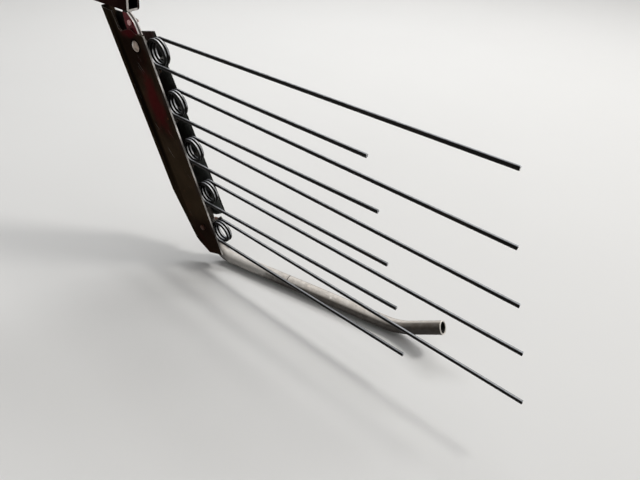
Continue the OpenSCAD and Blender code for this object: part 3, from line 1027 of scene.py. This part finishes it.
@dataclass(frozen=True)
class Bar(SubAssembly):
    """The folded bar, its far plate and the weld that joins them."""

    finish: Steel = Steel(
        "bar paint", (55, 43, 33), (39, 30, 23), (62, 33, 26), (158, 153, 146),
        rust=(86, 54, 36), patches=0.35, rusting=0.42, wear=0.8, dusting=0.03, hang=LEANING, shine=0.0,
        smooth=0.55, scratching=0.35,
        facings=(
            # Painted highlight: a light line, broken by gaps, on the rear edge face of the near flange.
            Facing((0.9516, 0.0, 0.3074), 0.78, 0.9, (244, 240, 235), 0.95, 0.35,
                   within=crisp_box((0.0385, -0.018, -0.23), (0.006, 0.006, 0.3))),
        ),
        zones=(
            Zone((-0.004, -0.02, -0.32), (0.05, 0.03, 0.11), (63, 52, 39), 0.45, ragged=0.7, soft=0.5),
            # Painted shade on the near face round and below the pivot bolt, up to the bar's top under the
            # arm.
            Zone((-0.02, -0.02, -0.012), (0.05, 0.03, 0.045), (22, 13, 11), 0.75, ragged=0.5, soft=0.5),
            Zone((0.0, -0.02, 0.031), (0.032, 0.03, 0.012), (88, 22, 30), 0.5, ragged=0.9, soft=0.5),
            Zone((-0.008, -0.02, -0.122), (0.024, 0.03, 0.054), (76, 20, 24), 0.7, soft=0.6, ragged=1.2,
                 ragged_size=26 * MM),
            Zone((0.0, -0.02, -0.455), (0.06, 0.03, 0.05), (27, 18, 15), 0.7, ragged=0.6, soft=0.4),
            # Painted shade on the front strip of the near face, with a near-black band down its upper part.
            Zone((-0.075, -0.024, -0.25), (0.031, 0.014, 0.42), (34, 26, 18), 0.75, Form.BOX, 0.06, 0.12),
            Zone((-0.0615, -0.024, -0.11), (0.012, 0.03, 0.2), (12, 8, 6), 0.9, ragged=0.3, soft=0.5),
            # Painted shadow: a dark ring on the near face round the pivot bolt's head.
            Zone((0.0, -0.02, 0.0), (0.0155, 0.004, 0.0155), (14, 10, 10), 0.8, soft=0.18, ragged=0.25),
            # Painted shadows of the coils: darker stretches of the rim line beside each coil.
            *(Zone((0.0385, -0.018, z), (0.012, 0.008, 0.019), (48, 40, 37), 0.62, soft=0.25, ragged=0.2)
              for z in (-0.002, -0.113, -0.218, -0.323, -0.428)),
        ))
    plate_finish: Steel = Steel(
        "far plate paint", (24, 24, 23), (16, 16, 15), (30, 27, 25), (96, 94, 90),
        patches=0.3, rusting=0.25, wear=0.4, dusting=0.04, hang=LEANING, shine=0.03,
        # Painted light: the far plate's near face is lighter than its far side.
        facings=(Facing((0.0, -1.0, 0.0), 0.7, 0.95, (120, 125, 122), 0.92, 0.3),))
    weld_finish: Steel = Steel(
        "bar weld", (36, 28, 24), (22, 17, 15), (44, 26, 21), (104, 98, 92),
        rusting=0.6, coarse=0.85, dusting=0.1)
    edge: float = 0.8 * MM
    front: float = -95.48 * MM
    seam: float = 16 * MM
    sheet: float = 4 * MM
    top: float = 70 * MM
    foot: float = -290 * MM
    stitches: int = 5
    stitch: float = 34 * MM
    bead_radius: float = 2.4 * MM
    bead_out: float = 0.4 * MM
    first_seed: int = 20

    def build(self) -> None:
        """Builds and dresses the bar, the far plate and the stitch welds of their seam."""
        self.rounded("gate_bar", self.edge, Slot.BAR, self.finish.material())
        self.rounded("far_plate", self.edge, Slot.PLATE, self.plate_finish.material())
        settle(make_piece("bar_welds", self.seam_welds()), self.body, Slot.BAR, self.weld_finish.material())

    def seam_welds(self) -> list[Shell]:
        """Short beads at equal steps down the seam between the web and the far plate.

        Returns:
            The closed surfaces.
        """
        x, y = self.front + self.sheet + self.bead_out, self.seam - self.bead_out
        tops = np.linspace(self.top - self.stitch, self.foot + self.stitch, self.stitches)
        ends = [((x, y, z), (x, y, z - self.stitch)) for z in tops]
        return [Bead(*e, self.bead_radius, LEANING, self.first_seed + i).shell() for i, e in enumerate(ends)]


@dataclass(frozen=True)
class PivotBolt(SubAssembly):
    """The domed bolt that the gate tilts on, with its washer and nut."""

    finish: Steel = Steel(
        "bright bolt", (190, 172, 158), (166, 148, 134), (142, 122, 108), (212, 206, 198),
        rusting=0.15, wear=0.3, metal=0.25, smooth=0.2, coarse=0.4, dusting=0.1, grain=0.6, shine=0.5,
        facings=(
            # Painted highlight on the upper front half of the dome, and painted shade on its lower rear half.
            Facing((-0.3, -0.9, 0.3), 0.9, 0.985, (255, 246, 238), 0.9, 0.2),
            Facing((0.3, -0.9, -0.32), 0.93, 0.99, (112, 98, 88), 0.8, 0.2),
        ))
    zinc: Steel = Steel(
        "pivot zinc", (136, 133, 127), (102, 99, 93), (116, 106, 92), (180, 178, 172),
        rusting=0.55, metal=0.7, dusting=0.3)
    diameter: float = 10 * MM
    pitch: float = 1.5 * MM
    plain: float = 16 * MM
    head: float = 22 * MM
    dome: float = 5.5 * MM
    dome_rings: int = 14
    rim: float = 0.9 * MM
    flange: float = -20 * MM
    washer_near: float = Arm.hanger_far + FIT
    washer_thick: float = 2 * MM
    washer_play: float = 0.6 * MM
    washer_share: float = 2.1

    def build(self) -> None:
        """Builds and dresses the bolt, the washer and the nut."""
        d, face = self.diameter, self.washer_near + self.washer_thick
        bolt = Bolt(LEANING, 0, 0, d, self.pitch, self.plain, self.flange, face)
        head = self.domed_head(bolt.at(self.flange, -1))
        self.rebuilt("pivot_bolt", [head, bolt.shank()], Slot.BRIGHT, self.finish.material())
        zinc, hole = self.zinc.material(), d + self.washer_play
        ring = washer(bolt.at(self.washer_near), hole, self.washer_share * d, self.washer_thick)
        self.rebuilt("pivot_washer", [ring], Slot.ZINC, zinc)
        self.rebuilt("pivot_nut", [nut(bolt.at(face), d)], Slot.ZINC, zinc)

    def domed_head(self, spindle: Spindle) -> Shell:
        """A dome on a small rim: at radius r it is dome - (R - sqrt(R^2 - r^2)) high, R the sphere's radius.

        Args:
            spindle: Its axis, from the flange towards the near side.

        Returns:
            The closed surface.
        """
        edge, rise, chamfer = self.head / 2, self.dome - self.rim, 0.3 * MM
        sphere = (edge**2 + rise**2) / (2 * rise)
        r = edge * np.sin(np.linspace(0.02, 1, self.dome_rings) * math.pi / 2)
        h = self.rim + rise - sphere + np.sqrt(sphere**2 - r**2)
        rows = [*zip(r, h), (edge, chamfer), (edge - chamfer, 0.0), (0.3 * edge, 0.0)]
        return spindle.lathe(rows)


@dataclass(frozen=True)
class CoilRow(SubAssembly):
    """Pieces that sit at each coil of the row down the bar."""

    count: int = 5
    pitch: float = 105 * MM
    first: float = -19.7 * MM
    coil_x: float = 48 * MM

    def height(self, k: int) -> float:
        """Height on the bar of coil k, counted from 1 at the top."""
        return self.first - (k - 1) * self.pitch


@dataclass(frozen=True)
class Tines(CoilRow):
    """The double spring tines: one wire each, a short lower leg, a coil and a long upper leg."""

    # The first facing is a painted highlight along the tops of the wires, the others are painted highlights
    # in long arcs on the coils.
    finish: Steel = Steel(
        "spring wire", (19, 16, 14), (11, 10, 9), (30, 25, 22), (96, 98, 102),
        patches=0.4, rusting=0.2, wear=0.0, dusting=0.03, scratching=0.3, smooth=0.24, coarse=0.4,
        grain=0.35, shine=0.12, pattern=Pattern.UNBENT,
        facings=(
            Facing((0.0, -0.04, 1.0), 0.85, 0.95, (138, 141, 147), 0.9, 0.3),
            Facing((0.95, 0.0, 0.31), 0.89, 0.97, (206, 208, 211), 0.85, 0.2),
            Facing((0.31, 0.0, 0.95), 0.9, 0.97, (206, 208, 211), 0.8, 0.2),
            Facing((0.68, 0.0, 0.73), 0.87, 0.96, (240, 241, 242), 0.95, 0.1),
        ))
    wire: float = 7.5 * MM
    coil_radius: float = 24.75 * MM
    turns: float = 2.5
    turn_pitch: float = 7.9 * MM
    near: float = -11.95 * MM
    long_leg: float = 747 * MM
    short_leg: float = 528 * MM
    drop: float = LEANING.lean
    long_sag: tuple[float, ...] = (-0.3, 1.0, 0.8, 0.0, 0.5)
    short_sag: tuple[float, ...] = (0.6, -0.3, -0.4, -1.5, -0.4)
    root: float = 4 * MM
    end: float = 5 * MM
    tip_cut: float = 0.7 * MM
    around: int = 20
    per_turn: int = 56
    low_rings: int = 34
    high_rings: int = 46
    lay_step: float = 2.0

    def build(self) -> None:
        """Builds and dresses each tine."""
        steel = self.finish.material()
        for k in range(1, self.count + 1):
            self.rebuilt(f"tine_{k}", [self.wire_shell(k)], Slot.WIRE, steel)

    def leg(self, along: np.ndarray, sag: float, y: float, z: float) -> np.ndarray:
        """A straight leg with a sag of s degrees: at distance d along it is (d cos s, y, z - d sin s)."""
        c, s = math.cos(math.radians(sag)), math.sin(math.radians(sag))
        return np.stack([along * c, np.full_like(along, y), z - along * s], axis=1)

    def centre_line(self, k: int) -> np.ndarray:
        """The wire's centre line about its coil: a straight leg, a helix round Y, a straight leg.

        On the helix, x and z go round the coil's radius while y rises evenly by the turn pitch.

        Args:
            k: The tine's number, from the top.

        Returns:
            Points of shape (n, 3).
        """
        rise, r = self.turns * self.turn_pitch, self.coil_radius
        a = -math.pi / 2 - np.linspace(0, 2 * math.pi * self.turns, int(self.per_turn * self.turns) + 1)
        coil = [r * np.cos(a), self.near + rise * np.linspace(0, 1, len(a)), r * np.sin(a)]
        tips = np.array([0.0, self.tip_cut])
        low = np.linspace(self.short_leg - self.end, self.root, self.low_rings)
        high = np.linspace(self.root, self.long_leg - self.end, self.high_rings)
        low, high = np.append(self.short_leg - tips, low), np.append(high, self.long_leg - tips[::-1])
        lower = self.leg(low, self.short_sag[k - 1], self.near, -r)
        upper = self.leg(high, self.long_sag[k - 1], self.near + rise, r)
        return np.concatenate([lower, np.stack(coil, axis=1), upper])

    def wire_shell(self, k: int) -> Shell:
        """A circle carried along the centre line, turned down by the tines' drop and put at coil k.

        Args:
            k: The tine's number, from the top.

        Returns:
            The closed surface, with its unbent coordinates, which each tine starts further along.
        """
        path = self.centre_line(k)
        radius = np.full(len(path), self.wire / 2)
        radius[[0, -1]] -= self.tip_cut
        profile = radius[:, None, None] * circle(self.around)[None]
        rings = Hang(-self.drop, (self.coil_x, 0.0, self.height(k))).place(carried(path, (0, 1, 0), profile))
        along = np.concatenate([[0.0], np.cumsum(np.linalg.norm(np.diff(path, axis=0), axis=1))])
        along = np.broadcast_to(along[:, None, None] + self.lay_step * k, (*profile.shape[:2], 1))
        return grid_shell(LEANING.place(rings), np.concatenate([profile, along], axis=2))


@dataclass(frozen=True)
class Clips(CoilRow):
    """The folded straps that hook round the coils, and their nuts."""

    finish: Steel = Steel(
        "clip strap", (24, 22, 21), (16, 14, 14), (31, 25, 22), (96, 92, 88),
        rust=(50, 32, 24), rusting=0.35, wear=0.35, dusting=0.05, shine=0.12)
    nut_finish: Steel = Steel(
        "clip nut steel", (50, 46, 42), (34, 30, 28), (56, 46, 38), (128, 124, 118),
        rust=(66, 40, 28), rusting=0.6, metal=0.4, dusting=0.1)
    slant: float = math.radians(60)
    edge: float = 0.5 * MM
    stud: float = 8 * MM
    stud_r: float = 41.8 * MM
    face: float = -13 * MM

    def build(self) -> None:
        """Builds and dresses each clip and its nut; the last clip slants the other way."""
        strap, steel = self.finish.material(), self.nut_finish.material()
        for k in range(1, self.count + 1):
            self.rounded(f"tine_clip_{k}", self.edge, Slot.CLIP, strap)
            way = -self.slant if k < self.count else self.slant
            x = self.coil_x - self.stud_r * math.cos(way)
            z = self.height(k) + self.stud_r * math.sin(way)
            start = Spindle(LEANING, x, z, self.face)
            self.rebuilt(f"clip_nut_{k}", [nut(start, self.stud)], Slot.ZINC, steel)


@dataclass(frozen=True)
class Skid(SubAssembly):
    """The skid tube: upright in the bar's foot, bent to the rear and outwards, its end turned up and open."""

    finish: Steel = Steel(
        "skid tube zinc", (118, 111, 105), (92, 85, 79), (100, 90, 81), (182, 178, 172),
        rust=(92, 66, 48), patches=0.5, rusting=0.3, wear=0.0, dusting=0.2, metal=0.1, smooth=0.5,
        coarse=0.72, scratching=0.6, shine=0.35, pattern=Pattern.UNBENT,
        facings=(
            # Painted light on the tube's upper side, painted shade on its underside, and more painted shade
            # over the turned-up end but its top.
            Facing((0.0, -0.45, 0.89), 0.3, 0.7, (220, 214, 206), 0.9, 0.25),
            Facing((0.0, -0.6, -0.8), -0.36, 0.07, (42, 36, 32), 0.92, 0.12),
            Facing((0.0, -0.8, -0.6), -0.6, -0.22, (48, 43, 39), 0.92, 0.12, within=Zone(
                (0.0, 0.0, 0.715), (0.09, 0.09, 0.09), share=1.0, soft=0.5, ragged=0.2)),
        ),
        zones=(
            Zone((0.0, 0.006, 0.235), (0.03, 0.016, 0.085), (204, 200, 194), 0.65, ragged=0.7),
            Zone((0.0, 0.012, 0.3585), (0.03, 0.009, 0.0011), (26, 22, 20), 0.9, soft=0.3, ragged=0.3),
            # Two painted highlights: small light spots on the upper side towards the end.
            Zone((-0.0027, 0.0146, 0.4153), (0.003, 0.003, 0.0045), (226, 216, 204), 0.7, ragged=0.8,
                 ragged_size=4 * MM),
            Zone((-0.008, 0.0127, 0.4764), (0.003, 0.003, 0.003), (240, 234, 226), 0.85, ragged=0.6,
                 ragged_size=4 * MM),
            # Painted shade: a near-black lining inside the tube.
            Zone((0.0, 0.0, 0.4), (0.0133, 0.0133, 9.0), (14, 12, 11), 0.95, soft=0.04, ragged=0.0,
                 rough=0.95),
            Zone((0.0, 0.0, 0.7481), (0.03, 0.03, 0.0016), (222, 216, 208), 0.92, Form.BOX, 0.3, 0.0),
        ))
    bolt_finish: Steel = Steel(
        "rusty bolt", (82, 46, 32), (52, 32, 25), (98, 54, 34), (110, 90, 76),
        rusting=0.9, wear=0.2, dusting=0.08, coarse=0.9)
    diameter: float = 30 * MM
    wall: float = 2.6 * MM
    rim: float = 0.5 * MM
    dent: float = 0.15 * MM
    dent_size: float = 25 * MM
    dent_seed: int = 41
    x: float = 3 * MM
    top: float = 350 * MM
    bend: float = 55 * MM
    run: float = 418 * MM
    depth: float = 488.2 * MM
    skew: float = math.radians(10.5)
    tip_bend: float = 120 * MM
    tip_rise: float = math.radians(30)
    tip: float = 74 * MM
    around: int = 48
    rings: int = 170
    bolt_d: float = 8 * MM
    bolt_pitch: float = 1.25 * MM
    bolt_plain: float = 30 * MM
    bolt_head: float = -20.3 * MM
    bolt_z: float = -426 * MM

    def build(self) -> None:
        """Builds and dresses the tube, its bolt and its nut."""
        self.rebuilt("skid_tube", [self.tube()], Slot.SKID, self.finish.material())
        rusty, face = self.bolt_finish.material(), self.diameter / 2 + FIT
        bolt = Bolt(LEANING, self.x, self.bolt_z, self.bolt_d, self.bolt_pitch, self.bolt_plain,
                    self.bolt_head, face)
        self.rebuilt("skid_bolt", [bolt.hexagon_head(), bolt.shank()], Slot.RUST, rusty)
        self.rebuilt("skid_nut", [nut(bolt.at(face), self.bolt_d)], Slot.RUST, rusty)

    def route(self, count: int = 2400) -> tuple[np.ndarray, np.ndarray, np.ndarray]:
        """The tube's axis, in the upright plane that swings out by the skew.

        Its heading from straight down grows evenly in each bend, and its place is the running sum of the
        heading's sine and cosine.

        Args:
            count: Points on the axis.

        Returns:
            The distances along it, its points in the bar's frame, and the direction square to its plane.
        """
        lean = LEANING.lean
        level = math.acos(math.sin(lean) * math.cos(self.skew))
        swing = math.atan2(math.sin(self.skew), math.cos(lean) * math.cos(self.skew))
        end_x = self.x + self.bend * (1 - math.cos(level)) * math.cos(swing)
        bend_z = (-self.depth - math.sin(lean) * end_x) / math.cos(lean) + self.bend * math.sin(level)
        lengths = [-self.top - bend_z, self.bend * level, self.run, self.tip_bend * self.tip_rise, self.tip]
        knots = np.concatenate([[0.0], np.cumsum(lengths)])
        turns = np.array([0.0, 0.0, level, level, level + self.tip_rise, level + self.tip_rise])
        s = np.linspace(0, knots[-1], count)
        heading = np.interp(s, knots, turns)
        slope = np.stack([np.sin(heading), -np.cos(heading)], axis=1)
        steps = (slope[1:] + slope[:-1]) / 2 * (s[1] - s[0])
        flat = np.concatenate([[[0.0, 0.0]], np.cumsum(steps, axis=0)])
        out = np.array([math.cos(swing), math.sin(swing), 0.0])
        path = np.array([self.x, 0.0, -self.top]) + flat[:, :1] * out + flat[:, 1:] * np.array([0, 0, 1.0])
        return s, path, np.array([-math.sin(swing), math.cos(swing), 0.0])

    def tube(self) -> Shell:
        """An outer and an inner round wall, carried along the axis and joined by a rounded rim at each end.

        The radius wobbles by the dent's depth along the length, as a rolled tube's does.

        Returns:
            The closed surface, with its unbent coordinates.
        """
        s, path, across = self.route()
        outer, inner = self.diameter / 2, self.diameter / 2 - self.wall
        body = np.linspace(self.rim, s[-1] - self.rim, self.rings)
        along = np.concatenate([body, [s[-1], s[-1]], body[::-1], [0.0, 0.0]])
        soft = [outer - self.rim, inner + self.rim]
        radius = np.concatenate([np.full(len(body), outer), soft, np.full(len(body), inner), soft[::-1]])
        at = np.stack([np.interp(along, s, path[:, i]) for i in range(3)], axis=1)
        t = np.stack([np.interp(along, s, np.gradient(path[:, i], s)) for i in range(3)], axis=1)
        t /= np.linalg.norm(t, axis=1, keepdims=True)
        u = np.broadcast_to(across, t.shape)
        v = np.cross(t, u)
        c = circle(self.around)
        flat = radius[:, None, None] * c[None]
        lay = np.concatenate([flat, np.broadcast_to(along[:, None, None], (*flat.shape[:2], 1))], axis=2)
        r = radius[:, None] + self.dent * smooth_noise(lay / self.dent_size, self.dent_seed)
        rings = at[:, None] + (r * c[:, 0])[..., None] * u[:, None] + (r * c[:, 1])[..., None] * v[:, None]
        return grid_shell(LEANING.place(rings), lay, ring_closed=True)


def main() -> None:
    """Builds the studio and the sub-assemblies in order."""
    logging.basicConfig(level=logging.INFO, format="%(name)s: %(message)s")
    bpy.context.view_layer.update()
    Studio().build()
    for part in (Arm(), Bar(), PivotBolt(), Tines(), Clips(), Skid()):
        LOG.info("building %s", type(part).__name__)
        part.build()


if __name__ == "__main__":
    main()
